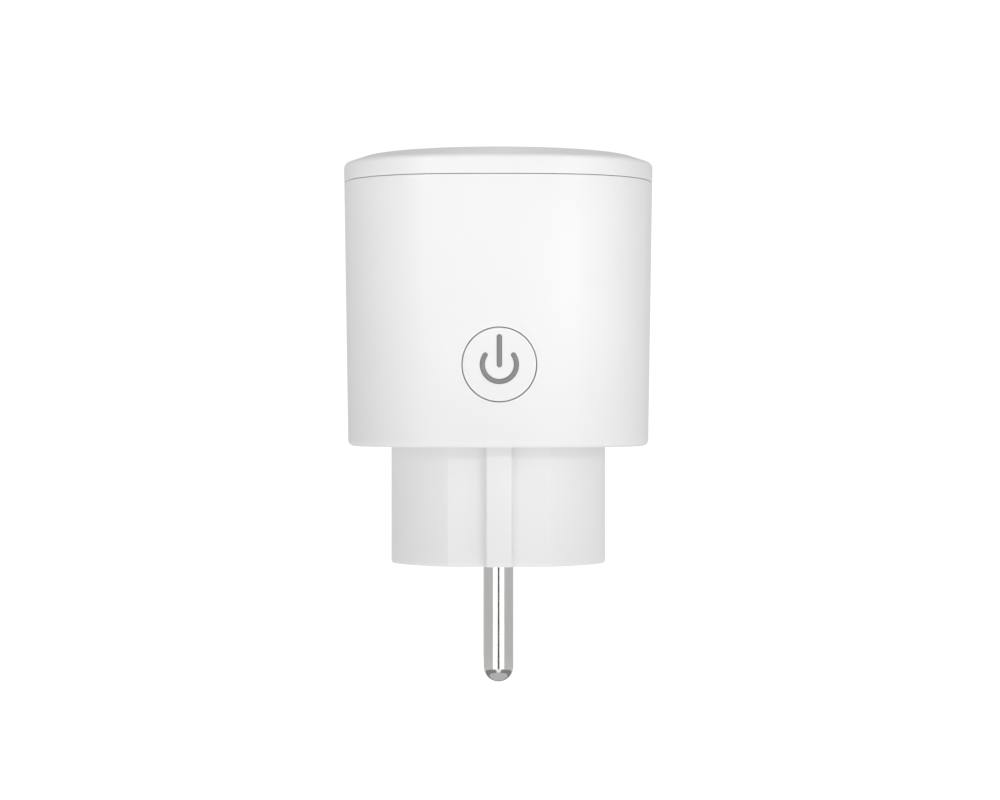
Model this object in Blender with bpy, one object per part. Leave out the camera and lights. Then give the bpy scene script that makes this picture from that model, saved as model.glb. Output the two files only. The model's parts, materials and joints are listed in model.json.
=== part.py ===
"""Plug-through power meter for round-pin sockets, modelled as separate pieces.

Frame: the origin is the centre of the plug face, +Z runs up through the body to the
socket, the two pins lie on the Y axis and hang below z = 0, and the button faces -Y.
Dimensions below are in millimetres; meshes are written in metres.
"""

import math

import bmesh
import bpy
from mathutils import Matrix, Vector

MM = 0.001
GAP = 0.3  # running gap between neighbouring pieces

# Plug side
PIN_PITCH = 19.0
PIN_R = 2.4
PIN_LENGTH = 19.1
BASE_R = 18.5
BASE_HEIGHT = 19.3
BASE_FLAT = 16.6  # distance of the side flats from the axis
RIB_HALF_WIDTH = 2.05
CHANNEL_HALF_WIDTH = 5.5
CHANNEL_FLOOR = 16.2
BASE_WALL = 3.0
BASE_CAVITY_R = 13.4
EARTH_X = 10.0  # socket for the earth pin of a French outlet

# Body
BODY_TOP = 62.35
BODY_HALF_BOTTOM = 24.8
BODY_HALF_TOP = 25.45
SQUIRCLE = 2.75
BODY_WALL = 2.0
BODY_FLOOR = 2.0
BODY_FILLET = 0.9
FLOOR_HOLE_R = 14.5
PARTING = 0.3

# Socket cover
COVER_HALF = 25.5
COVER_EDGE_Z = 65.6
COVER_ROUNDING = 1.2
RIM_R = 22.2
RIM_Z = 67.0
WELL_R = 19.5
WELL_FLOOR_Z = 49.5
WELL_FLOOR = 1.6
WELL_FLAT = 17.3
PIN_HOLE_R = 3.0

# Button
BUTTON_Z = 32.4
BUTTON_R = 5.85
BUTTON_TRAVEL = 0.5
ICON_R = 2.69
ICON_STROKE = 0.79
ICON_OPENING = 59.0
ICON_BAR_TOP = 4.77
ICON_BAR_BOTTOM = -0.44
ICON_BAR_WIDTH = 0.83

# Boards and shutter
PCB_Z = 24.0
PCB_THICK = 1.6
PCB_HALF = 22.4
POST = (16.3, 14.0)
CARRIER_TOP = 42.7
TRAY_Z = 43.0
TRAY_FLOOR = 1.2
TRAY_TOP = 47.5
SHUTTER_TRAVEL = 6.0
CLIP_ROOT = (20.5, 26.2)

RING = 64


# ---------------------------------------------------------------- helpers

def clear_scene():
    for obj in list(bpy.data.objects):
        bpy.data.objects.remove(obj, do_unlink=True)
    for mesh in list(bpy.data.meshes):
        bpy.data.meshes.remove(mesh)


def material(name, color, roughness, metallic=0.0, transmission=0.0):
    mat = bpy.data.materials.new(name)
    mat.use_nodes = True
    shader = mat.node_tree.nodes["Principled BSDF"]
    shader.inputs["Base Color"].default_value = (*color, 1.0)
    shader.inputs["Roughness"].default_value = roughness
    shader.inputs["Metallic"].default_value = metallic
    shader.inputs["Transmission Weight"].default_value = transmission
    return mat


def finish(obj, mat):
    obj.data.materials.clear()
    obj.data.materials.append(mat)
    obj.data.shade_smooth()
    obj.data.set_sharp_from_angle(angle=math.radians(32))
    return obj


def make(name, verts, faces):
    mesh = bpy.data.meshes.new(name)
    mesh.from_pydata([(x * MM, y * MM, z * MM) for x, y, z in verts], [], faces)
    mesh.update()
    bm = bmesh.new()
    bm.from_mesh(mesh)
    bmesh.ops.recalc_face_normals(bm, faces=bm.faces)
    bm.to_mesh(mesh)
    bm.free()
    obj = bpy.data.objects.new(name, mesh)
    bpy.context.scene.collection.objects.link(obj)
    return obj


def loft(name, rings, closed=False):
    """Skin a list of equal-length rings; open ends are capped."""
    count = len(rings[0])
    verts = [p for ring in rings for p in ring]
    faces = []
    spans = len(rings) if closed else len(rings) - 1
    for k in range(spans):
        a, b = k * count, ((k + 1) % len(rings)) * count
        for i in range(count):
            j = (i + 1) % count
            faces.append((a + i, a + j, b + j, b + i))
    if not closed:
        faces.append(tuple(range(count)))
        faces.append(tuple((len(rings) - 1) * count + i for i in range(count)))
    return make(name, verts, faces)


def prism(name, outline, low, high, axis="Z"):
    """Extrude a 2D outline. Axis Z takes (x, y); Y takes (x, z); X takes (y, z)."""
    def place(p, h):
        if axis == "Z":
            return (p[0], p[1], h)
        if axis == "Y":
            return (p[0], h, p[1])
        return (h, p[0], p[1])

    return loft(name, [[place(p, low) for p in outline], [place(p, high) for p in outline]])


def rod(name, centre, radius, low, high, axis="Z", count=20):
    outline = [
        (centre[0] + radius * math.cos(2 * math.pi * i / count), centre[1] + radius * math.sin(2 * math.pi * i / count))
        for i in range(count)
    ]
    return prism(name, outline, low, high, axis)


def turned(name, centre, profile, count=20):
    """Revolve (radius, z) points about a vertical axis; both ends are capped."""
    rings = [
        [
            (
                centre[0] + r * math.cos(2 * math.pi * i / count),
                centre[1] + r * math.sin(2 * math.pi * i / count),
                z,
            )
            for i in range(count)
        ]
        for r, z in profile
    ]
    return loft(name, rings)


def block(name, low, high, bevel=0.0, segments=1):
    x0, y0, z0 = low
    x1, y1, z1 = high
    obj = prism(name, [(x0, y0), (x1, y0), (x1, y1), (x0, y1)], z0, z1)
    if bevel:
        bm = bmesh.new()
        bm.from_mesh(obj.data)
        bmesh.ops.bevel(bm, geom=list(bm.edges), offset=bevel * MM, segments=segments, affect="EDGES", profile=0.5)
        bm.to_mesh(obj.data)
        bm.free()
    return obj


def strip(name, path, thickness, low, high, axis="Y"):
    """A bent strip: a polyline in the (x, z) plane given a thickness, extruded along Y."""
    left, right = [], []
    for i, p in enumerate(path):
        before = Vector(path[max(i - 1, 0)])
        after = Vector(path[min(i + 1, len(path) - 1)])
        here = Vector(p)
        d1 = (here - before).normalized() if i else None
        d2 = (after - here).normalized() if i < len(path) - 1 else None
        if d1 is None:
            normal, scale = Vector((-d2.y, d2.x)), 1.0
        elif d2 is None:
            normal, scale = Vector((-d1.y, d1.x)), 1.0
        else:
            n1, n2 = Vector((-d1.y, d1.x)), Vector((-d2.y, d2.x))
            normal = (n1 + n2).normalized()
            scale = 1.0 / max(normal.dot(n1), 0.3)
        offset = normal * (thickness / 2 * scale)
        left.append(tuple(here + offset))
        right.append(tuple(here - offset))
    return prism(name, left + right[::-1], low, high, axis)


def combine(obj, tool, operation):
    """Boolean the tool into the object, then drop the tool."""
    mod = obj.modifiers.new("combine", "BOOLEAN")
    mod.operation = operation
    mod.solver = "EXACT"
    mod.object = tool
    bpy.context.view_layer.update()
    graph = bpy.context.evaluated_depsgraph_get()
    mesh = bpy.data.meshes.new_from_object(obj.evaluated_get(graph))
    obj.modifiers.clear()
    old = obj.data
    obj.data = mesh
    mesh.name = obj.name
    bpy.data.meshes.remove(old)
    bpy.data.objects.remove(tool, do_unlink=True)
    bm = bmesh.new()
    bm.from_mesh(obj.data)
    bmesh.ops.remove_doubles(bm, verts=bm.verts, dist=0.002 * MM)
    bmesh.ops.dissolve_degenerate(bm, edges=bm.edges, dist=0.001 * MM)
    bm.to_mesh(obj.data)
    bm.free()
    return obj


def cut(obj, *tools):
    for tool in tools:
        combine(obj, tool, "DIFFERENCE")
    return obj


def add(obj, *tools):
    for tool in tools:
        combine(obj, tool, "UNION")
    return obj


def move_origin(obj, point):
    shift = Vector(point) * MM
    obj.data.transform(Matrix.Translation(-shift))
    obj.location = shift
    return obj


def squircle(half, z, count=RING, power=SQUIRCLE):
    ring = []
    for i in range(count):
        t = 2 * math.pi * i / count
        c, s = math.cos(t), math.sin(t)
        r = half / (abs(c) ** power + abs(s) ** power) ** (1 / power)
        ring.append((r * c, r * s, z))
    return ring


def circle(radius, z, count=RING):
    return [
        (radius * math.cos(2 * math.pi * i / count), radius * math.sin(2 * math.pi * i / count), z)
        for i in range(count)
    ]


def arc(radius, start, end, steps):
    return [
        (radius * math.cos(math.radians(start + (end - start) * i / steps)),
         radius * math.sin(math.radians(start + (end - start) * i / steps)))
        for i in range(steps + 1)
    ]


def body_half(z):
    return BODY_HALF_BOTTOM + (BODY_HALF_TOP - BODY_HALF_BOTTOM) * (z - BASE_HEIGHT) / (BODY_TOP - BASE_HEIGHT)


# ---------------------------------------------------------------- housing

def build_body_shell():
    rings = [squircle(body_half(BODY_TOP), BODY_TOP)]
    top_of_fillet = BASE_HEIGHT + BODY_FILLET
    for k in range(5):
        a = math.radians(90 * k / 4)
        half = body_half(top_of_fillet) - BODY_FILLET * (1 - math.cos(a))
        rings.append(squircle(half, top_of_fillet - BODY_FILLET * math.sin(a)))
    rings.append(circle(FLOOR_HOLE_R, BASE_HEIGHT))
    inner_floor = BASE_HEIGHT + BODY_FLOOR
    rings.append(circle(FLOOR_HOLE_R, inner_floor))
    rings.append(squircle(body_half(inner_floor) - BODY_WALL - 0.6, inner_floor))
    rings.append(squircle(body_half(inner_floor) - BODY_WALL, inner_floor + 0.6))
    rings.append(squircle(body_half(BODY_TOP) - BODY_WALL, BODY_TOP))
    shell = loft("body_shell", rings, closed=True)
    cut(shell, rod("hole", (0, BUTTON_Z), BUTTON_R + GAP, -28, -20, "Y", 40))
    for sx in (-1, 1):
        for sy in (-1, 1):
            post = (sx * POST[0], sy * POST[1])
            add(shell, rod("post", post, 2.2, inner_floor - 0.6, PCB_Z - GAP, count=16))
            if sx * sy < 0:
                cut(shell, rod("pilot", post, 1.3, BASE_HEIGHT + 1.2, PCB_Z, count=12))
    for x, y in base_screw_places():
        cut(shell, rod("screw_hole", (x, y), 1.3, BASE_HEIGHT - 1, inner_floor + 1, count=12))
    return shell


def base_screw_places():
    d = 16.6 * math.sqrt(0.5)
    return [(d, d), (-d, d), (-d, -d), (d, -d)]


def base_outline():
    lip = math.degrees(math.asin(CHANNEL_HALF_WIDTH / BASE_R))
    flat = math.degrees(math.asin(BASE_FLAT / BASE_R))
    rib_y = math.sqrt(BASE_R**2 - RIB_HALF_WIDTH**2)
    quarter = [(CHANNEL_FLOOR, 0.0), (CHANNEL_FLOOR, CHANNEL_HALF_WIDTH)]
    quarter += arc(BASE_R, lip, flat, 10)
    quarter += [(RIB_HALF_WIDTH, BASE_FLAT), (RIB_HALF_WIDTH, rib_y), (0.0, BASE_R)]
    half = quarter + [(-x, y) for x, y in reversed(quarter[:-1])]
    return half + [(x, -y) for x, y in reversed(half[1:-1])]


def build_plug_base():
    outline = base_outline()
    rings = []
    for z, inset in ((0.0, 0.6), (0.18, 0.18), (0.6, 0.0), (BASE_HEIGHT - GAP, 0.0)):
        k = 1 - inset / BASE_R
        rings.append([(x * k, y * k, z) for x, y in outline])
    base = loft("plug_base", rings)
    add(base, rod("spigot", (0, 0), BASE_CAVITY_R + 0.8, BASE_HEIGHT - 1.5, BASE_HEIGHT + BODY_FLOOR, count=48))
    cut(base, rod("cavity", (0, 0), BASE_CAVITY_R, BASE_WALL, BASE_HEIGHT + 4, count=48))
    for sy in (-1, 1):
        cut(base, rod("pin_hole", (0, sy * PIN_PITCH / 2), PIN_R + GAP, -1, BASE_WALL + 1, count=24))
    cut(base, rod("earth_hole", (EARTH_X, 0), 3.1, -1, BASE_WALL + 1, count=24))
    for sx in (-1, 1):
        cut(base, block("slot", (min(sx * 12, sx * 18), -4.05, 4.1), (max(sx * 12, sx * 18), 4.05, 5.4)))
    for x, y in base_screw_places():
        cut(base, rod("pilot", (x, y), 1.3, 11.0, BASE_HEIGHT + 1, count=12))
    return base


def well_block(sx, sy):
    """One half of the flat on the side of the well, beside its guide groove."""
    outer = WELL_R + 0.7
    start = math.degrees(math.asin(WELL_FLAT / outer))
    end = 90 - math.degrees(math.asin(2.6 / outer))
    outline = [(2.6, WELL_FLAT)] + arc(outer, start, end, 5)
    return [(sx * x, sy * y) for x, y in outline]


def build_socket_cover():
    lip = body_half(BODY_TOP) - BODY_WALL - GAP
    start = BODY_TOP + PARTING
    rings = [
        circle(WELL_R, WELL_FLOOR_Z),
        circle(WELL_R, RIM_Z - 0.8),
        circle(WELL_R + 0.25, RIM_Z - 0.25),
        circle(WELL_R + 0.8, RIM_Z),
        circle(RIM_R, RIM_Z),
    ]
    for a in (62, 40, 18, 0):
        c, s = math.cos(math.radians(a)), math.sin(math.radians(a))
        rings.append(squircle(COVER_HALF - COVER_ROUNDING * (1 - c), COVER_EDGE_Z - 1.05 + COVER_ROUNDING * s))
    rings += [
        squircle(COVER_HALF - 0.05, start),
        squircle(lip, start),
        squircle(lip, start - 2.5),
        squircle(lip - 1.0, start - 2.5),
        squircle(lip - 1.0, COVER_EDGE_Z - 1.2),
        circle(WELL_R + 1.5, COVER_EDGE_Z - 1.2),
        circle(WELL_R + 1.5, WELL_FLOOR_Z - WELL_FLOOR),
    ]
    cover = loft("socket_cover", rings)
    for sx in (-1, 1):
        for sy in (-1, 1):
            add(cover, prism("flat", well_block(sx, sy), WELL_FLOOR_Z - 0.4, COVER_EDGE_Z - 1.8))
    for place in tray_screw_places():
        add(cover, rod("boss", place, 2.2, TRAY_Z + TRAY_FLOOR + GAP, WELL_FLOOR_Z - WELL_FLOOR + 0.4, count=16))
        cut(cover, rod("pilot", place, 1.3, TRAY_Z, WELL_FLOOR_Z - 1.0, count=12))
    for sy in (-1, 1):
        cut(cover, rod("pin_hole", (0, sy * PIN_PITCH / 2), PIN_HOLE_R, WELL_FLOOR_Z - 3, WELL_FLOOR_Z + 1, count=24))
    for sx in (-1, 1):
        cut(cover, block("slot", (min(sx * 18.6, sx * 21.9), -4.3, 46.5), (max(sx * 18.6, sx * 21.9), 4.3, 64.9)))
    return cover


def tray_screw_places():
    return [(-13.3, -10.0), (13.1, 10.0)]


# ---------------------------------------------------------------- button

def button_skin(name, proud):
    """A solid with the body's outer surface, moved out by `proud`."""
    return loft(name, [squircle(body_half(z) + proud, z) for z in (BUTTON_Z - 12, BUTTON_Z + 12)])


def icon_ring(width):
    outer = arc(ICON_R + width / 2, 90 + ICON_OPENING, 450 - ICON_OPENING, 22)
    inner = arc(ICON_R - width / 2, 450 - ICON_OPENING, 90 + ICON_OPENING, 22)
    return [(x, z + BUTTON_Z) for x, z in outer + inner]


def icon_bar(width, extra):
    h = width / 2
    low, high = ICON_BAR_BOTTOM - extra + h, ICON_BAR_TOP + extra - h
    top = [(h * math.cos(math.radians(a)), BUTTON_Z + high + h * math.sin(math.radians(a))) for a in range(0, 181, 30)]
    bottom = [(h * math.cos(math.radians(a)), BUTTON_Z + low + h * math.sin(math.radians(a))) for a in range(180, 361, 30)]
    return top + bottom


def build_button():
    button = rod("power_button", (0, BUTTON_Z), BUTTON_R, -28.0, -22.4, "Y", 40)
    combine(button, button_skin("skin", 0.08), "INTERSECT")
    add(button, rod("flange", (0, BUTTON_Z), BUTTON_R + 1.15, -22.5, -21.7, "Y", 40))
    cut(button, rod("hollow", (0, BUTTON_Z), 5.2, -24.3, -21.0, "Y", 32))
    cut(button, prism("ring", icon_ring(ICON_STROKE + 0.3), -27, -23, "Y"))
    cut(button, prism("bar", icon_bar(ICON_BAR_WIDTH + 0.3, 0.15), -27, -23, "Y"))

    guide = rod("button_light_guide", (0, BUTTON_Z), 4.95, -24.0, -22.7, "Y", 32)
    add(guide, prism("ring", icon_ring(ICON_STROKE), -25.0, -23.5, "Y"))
    add(guide, prism("bar", icon_bar(ICON_BAR_WIDTH, 0.0), -25.0, -23.5, "Y"))
    add(guide, rod("stem", (0, BUTTON_Z), 1.5, -23.0, -21.3, "Y", 16))
    for obj in (button, guide):
        move_origin(obj, (0, -25.0, BUTTON_Z))
    return button, guide


# ---------------------------------------------------------------- metal contacts

def build_pin(name, sy):
    profile = []
    tip = 2.3
    for k in range(7):
        a = math.radians(8 + 82 * k / 6)
        profile.append((tip * math.sin(a), -PIN_LENGTH + tip * (1 - math.cos(a))))
    profile += [(PIN_R, -PIN_LENGTH + tip + 0.3), (PIN_R, BASE_WALL), (PIN_R, BASE_WALL + GAP), (3.6, BASE_WALL + GAP)]
    profile += [(3.6, 4.9), (1.0, 4.9), (1.0, 26.6)]
    return turned(name, (0, sy * PIN_PITCH / 2), profile)


def build_earth_strap(name, sx):
    path = [
        (sx * 16.5, 1.6), (sx * 17.2, 1.6), (sx * 17.2, 18.6), (sx * 16.5, 18.6),
        (sx * 16.5, 5.1), (sx * 12.4, 5.1), (sx * 12.4, 4.4), (sx * 16.5, 4.4),
    ]
    return prism(name, path, -3.75, 3.75, "Y")


def build_earth_bridge():
    bridge = block("earth_bridge", (-12.6, -3.6, 3.3), (12.6, 3.6, 4.1))
    for sy in (-1, 1):
        near, far = sy * 2.35, sy * 2.95
        add(bridge, block("leaf", (8.2, min(near, far), 3.5), (12.0, max(near, far), 14.0)))
    cut(bridge, block("window", (7.7, -2.3, 2.0), (12.15, 2.3, 6.0)))
    return bridge


def build_earth_clip(name, sx):
    x, z = CLIP_ROOT
    path = [
        (17.3, z), (x - 0.5, z), (x, z + 0.5), (x, 50.0), (19.6, 52.0), (16.95, 56.0), (16.35, 57.6), (16.35, 58.8),
        (16.95, 60.4), (18.5, 63.4),
    ]
    clip = strip(name, [(sx * px, pz) for px, pz in path], 0.6, -3.75, 3.75)
    return move_origin(clip, (sx * x, 0, z))


def build_socket_contact(name, sy):
    y = sy * PIN_PITCH / 2
    half = [(2.9, 27.9), (3.6, 28.8), (3.5, 33.0), (2.65, 37.4), (2.65, 38.4), (3.8, 42.0)]
    path = [(-px, pz) for px, pz in reversed(half)] + half
    contact = strip(name, path, 0.6, y - 3.2, y + 3.2)
    low, high = sorted((y + sy * 1.9, y + sy * 2.7))
    add(contact, block("tail", (-1.5, low, 23.4), (1.5, high, 27.9)))
    return contact


# ---------------------------------------------------------------- shutter

def build_shutter_parts():
    tray = block("shutter_tray", (-16.9, -15.0, TRAY_Z), (16.7, 15.0, TRAY_TOP), 0.4)
    floor = TRAY_Z + TRAY_FLOOR
    cut(tray, block("pocket", (-15.9, -14.0, floor), (15.7, 14.0, TRAY_TOP + 2)))
    for sy in (-1, 1):
        cut(tray, rod("hole", (0, sy * PIN_PITCH / 2), PIN_HOLE_R, TRAY_Z - 1, floor + 1, count=24))
    for place in tray_screw_places():
        cut(tray, rod("hole", place, 1.3, TRAY_Z - 1, floor + 1, count=12))

    low = floor + GAP
    shutter = block("shutter", (-9.7, -13.6, low), (4.4, 13.6, low + 1.2))
    for sy in (-1, 1):
        y = sy * PIN_PITCH / 2
        wedge = [(-3.0, low + 0.6), (4.4, low + 0.6), (4.4, TRAY_TOP), (3.0, TRAY_TOP), (-3.0, low + 1.3)]
        add(shutter, prism("ramp", wedge, y - 3.4, y + 3.4, "Y"))
        cut(shutter, rod("window", (-SHUTTER_TRAVEL, y), 2.9, low - 1, low + 4, count=20))
    add(shutter, block("push_face", (3.4, -2.2, low + 0.6), (4.4, 2.2, TRAY_TOP)))
    move_origin(shutter, (4.4, 0, 46.0))

    spring = helix("shutter_spring", (0.0, 46.0), 4.7 + 0.22, 15.4 - 0.22, 1.18, 0.22, 7.0)
    move_origin(spring, (15.4, 0, 46.0))
    return tray, shutter, spring


def helix(name, centre_yz, x0, x1, radius, wire, turns, per_turn=10, sides=5):
    """A coil along X with closed tube ends."""
    steps = int(turns * per_turn)
    rings = []
    for k in range(steps + 1):
        t = k / steps
        a = 2 * math.pi * turns * t
        middle = Vector((x0 + (x1 - x0) * t, centre_yz[0] + radius * math.cos(a), centre_yz[1] + radius * math.sin(a)))
        tangent = Vector(((x1 - x0) / (2 * math.pi * turns), -radius * math.sin(a), radius * math.cos(a))).normalized()
        outward = Vector((0, math.cos(a), math.sin(a)))
        side = tangent.cross(outward).normalized()
        ring = []
        for i in range(sides):
            b = 2 * math.pi * i / sides
            p = middle + (outward * math.cos(b) + side * math.sin(b)) * wire
            ring.append(tuple(p))
        rings.append(ring)
    return loft(name, rings)


def build_contact_carrier():
    carrier = block("contact_carrier", (-7.0, -14.0, PCB_Z + PCB_THICK + GAP), (7.0, 14.0, CARRIER_TOP), 0.4)
    for sy in (-1, 1):
        y = sy * PIN_PITCH / 2
        cut(carrier, block("cavity", (-4.6, y - 3.6, 20.0), (4.6, y + 3.6, 50.0)))
    for place in carrier_screw_places():
        cut(carrier, rod("pilot", place, 1.3, 20.0, 33.0, count=12))
    return carrier


def carrier_screw_places():
    return [(-4.5, 0.0), (4.5, 0.0)]


# ---------------------------------------------------------------- electronics

def build_main_pcb():
    board = loft("main_pcb", [squircle(PCB_HALF, PCB_Z, 48), squircle(PCB_HALF, PCB_Z + PCB_THICK, 48)])
    holes = [((0, sy * PIN_PITCH / 2), 1.3) for sy in (-1, 1)]
    holes += [((sx * POST[0], -sx * POST[1]), 1.4) for sx in (-1, 1)]
    holes += [(place, 1.4) for place in carrier_screw_places()]
    for place, radius in holes:
        cut(board, rod("hole", place, radius, 20, 30, count=16))
    for sy in (-1, 1):
        y = sy * PIN_PITCH / 2
        low, high = sorted((y + sy * 1.6, y + sy * 3.0))
        cut(board, block("slot", (-1.8, low, 20), (1.8, high, 30)))
    cut(board, block("button_notch", (-8.0, -30.0, 20), (8.0, -20.8, 30)))
    return board


def build_electronics():
    top = PCB_Z + PCB_THICK + GAP
    under = PCB_Z - GAP
    z = BUTTON_Z
    pieces = [build_main_pcb()]
    pieces.append(block("control_pcb", (-10.0, -17.1, 26.2), (14.5, -16.1, 42.7)))

    switch = block("tact_switch_body", (-3.0, -20.2, z - 3), (3.0, -17.4, z + 3), 0.25)
    cut(switch, rod("well", (0, z), 2.0, -21, -18.2, "Y", 20))
    pieces.append(switch)
    plunger = rod("tact_switch_plunger", (0, z), 1.7, -21.0, -18.9, "Y", 20)
    pieces.append(move_origin(plunger, (0, -21.0, z)))
    pieces.append(block("status_led", (-0.8, -18.3, z + 4.4), (0.8, -17.4, z + 6.0), 0.15))

    relay = block("relay", (-10.25, 14.6, top), (10.25, 21.8, top + 15.3), 0.4)
    cut(relay, block("vent", (8.2, 17.6, top + 14.9), (9.2, 18.6, top + 16)))
    pieces.append(relay)

    for name, x, y, r, h in (
        ("bulk_capacitor_1", 13.0, 9.5, 4.0, 12.0),
        ("bulk_capacitor_2", 13.0, -9.0, 4.0, 12.0),
        ("output_capacitor", -15.2, -13.5, 2.5, 7.0),
    ):
        profile = [
            (r - 0.3, top), (r, top + 0.3), (r, top + 1.0), (r - 0.35, top + 1.5), (r, top + 2.0),
            (r, top + h - 0.4), (r - 0.4, top + h), (r - 0.9, top + h), (r - 0.9, top + h - 0.2),
        ]
        pieces.append(turned(name, (x, y), profile, 16))
    profile = [(3.2, top), (3.2, top + 1.0), (2.4, top + 1.6), (2.4, top + 6.2), (3.2, top + 6.8), (3.2, top + 8.0)]
    pieces.append(turned("power_inductor", (12.0, 0.0), profile, 16))
    disc = [(y, zz) for y, zz in ((7.0 + 4.5 * math.cos(math.radians(a)), top + 5.5 + 4.5 * math.sin(math.radians(a))) for a in range(0, 360, 18))]
    varistor = prism("varistor", disc, -16.6, -13.4, "X")
    add(varistor, block("leads", (-15.3, 4.4, top), (-14.7, 5.2, top + 3)), block("leads", (-15.3, 8.8, top), (-14.7, 9.6, top + 3)))
    pieces.append(varistor)
    pieces.append(block("film_capacitor", (-12.8, -6.5, top), (-7.8, 6.5, top + 11.0), 0.4))
    profile = [(0.35, top), (0.35, top + 1.6), (1.5, top + 1.9), (1.7, top + 2.6), (1.55, top + 3.4), (1.55, top + 8.2),
               (1.7, top + 9.0), (1.5, top + 9.7), (0.35, top + 10.0), (0.35, top + 11.0)]
    pieces.append(turned("fuse_resistor", (-15.5, -8.5), profile, 12))
    pieces.append(block("bridge_rectifier", (15.0, -4.7, under - 2.0), (18.9, 0.0, under), 0.2))
    pieces.append(block("power_controller_chip", (15.0, 3.0, under - 1.6), (18.9, 7.9, under), 0.2))
    pieces.append(block("metering_chip", (-19.0, -5.0, under - 1.7), (-15.1, 5.0, under), 0.2))
    path = [(-12.6, top), (-12.6, top + 3.2), (-12.0, top + 3.8), (-9.0, top + 3.8), (-8.4, top + 3.2), (-8.4, top)]
    pieces.append(strip("current_shunt", path, 0.7, -12.0, -9.0))
    pieces.append(block("radio_module", (4.2, -18.2, 28.0), (14.2, -17.4, 42.0)))
    pieces.append(block("radio_shield", (4.7, -20.2, 28.5), (13.7, -18.5, 38.0), 0.25))
    header = block("board_header", (-9.0, -15.8, top), (1.0, -14.3, top + 2.6), 0.2)
    pieces.append(header)
    return pieces


# ---------------------------------------------------------------- screws

def build_screw(name, place, head_z, direction, length, head_r=1.8, head_h=1.3):
    """A cross-recess screw whose head sits on head_z and whose shank runs along `direction`."""
    s = direction
    profile = [
        (head_r, head_z - s * head_h), (head_r, head_z - s * 0.2), (head_r - 0.2, head_z), (1.0, head_z),
        (1.0, head_z + s * (length - 1.0)), (0.3, head_z + s * length),
    ]
    screw = turned(name, place, profile, 12)
    x, y = place
    face = head_z - s * head_h
    low, high = sorted((face - s * 0.5, face + s * 0.7))
    cut(screw, block("recess", (x - 1.0, y - 0.22, low), (x + 1.0, y + 0.22, high)),
        block("recess", (x - 0.22, y - 1.0, low), (x + 0.22, y + 1.0, high)))
    return screw


def build_screws():
    screws = []
    for i, place in enumerate(base_screw_places()):
        screws.append(build_screw(f"base_screw_{i + 1}", place, BASE_HEIGHT + BODY_FLOOR + GAP, -1, 9.0))
    for i, sx in enumerate((1, -1)):
        place = (sx * POST[0], -sx * POST[1])
        screws.append(build_screw(f"pcb_screw_{i + 1}", place, PCB_Z + PCB_THICK + GAP, -1, 4.9))
    for i, place in enumerate(carrier_screw_places()):
        screws.append(build_screw(f"carrier_screw_{i + 1}", place, PCB_Z - GAP, 1, 8.0))
    for i, place in enumerate(tray_screw_places()):
        screws.append(build_screw(f"tray_screw_{i + 1}", place, TRAY_Z - GAP, 1, 5.2))
    return screws


# ---------------------------------------------------------------- assembly

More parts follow.
